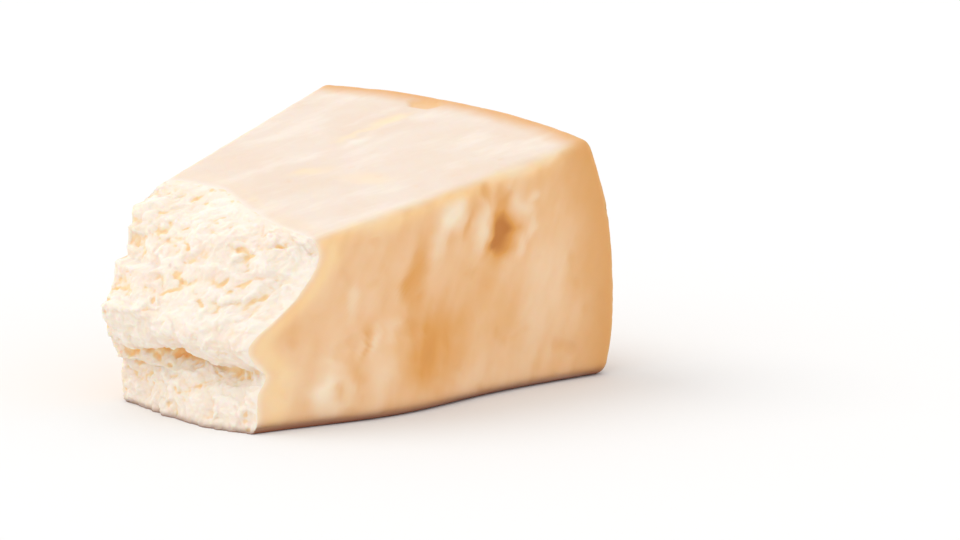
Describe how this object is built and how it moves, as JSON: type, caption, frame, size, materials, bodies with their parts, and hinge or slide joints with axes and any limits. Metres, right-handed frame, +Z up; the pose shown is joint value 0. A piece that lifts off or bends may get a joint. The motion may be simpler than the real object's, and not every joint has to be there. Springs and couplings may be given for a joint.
{
  "type": "cheese wedge",
  "caption": "Wedge of hard aged cheese with two smooth cut sides, a sloping cut top, a rind at the wide end and a rough broken thin end.",
  "frame": {"origin": "centre of the bounding box's bottom face, on the flat bottom that the wedge stands on", "axes": "+X from the rind towards the broken thin end, +Y towards the cut side where the top is lower, +Z up"},
  "size_m": [0.1194, 0.0914, 0.068],
  "materials": {
    "cheese": "satin, slightly waxy"
  },
  "bodies": {
    "root": {"cheese_wedge": "cheese"}
  },
  "joints": []
}
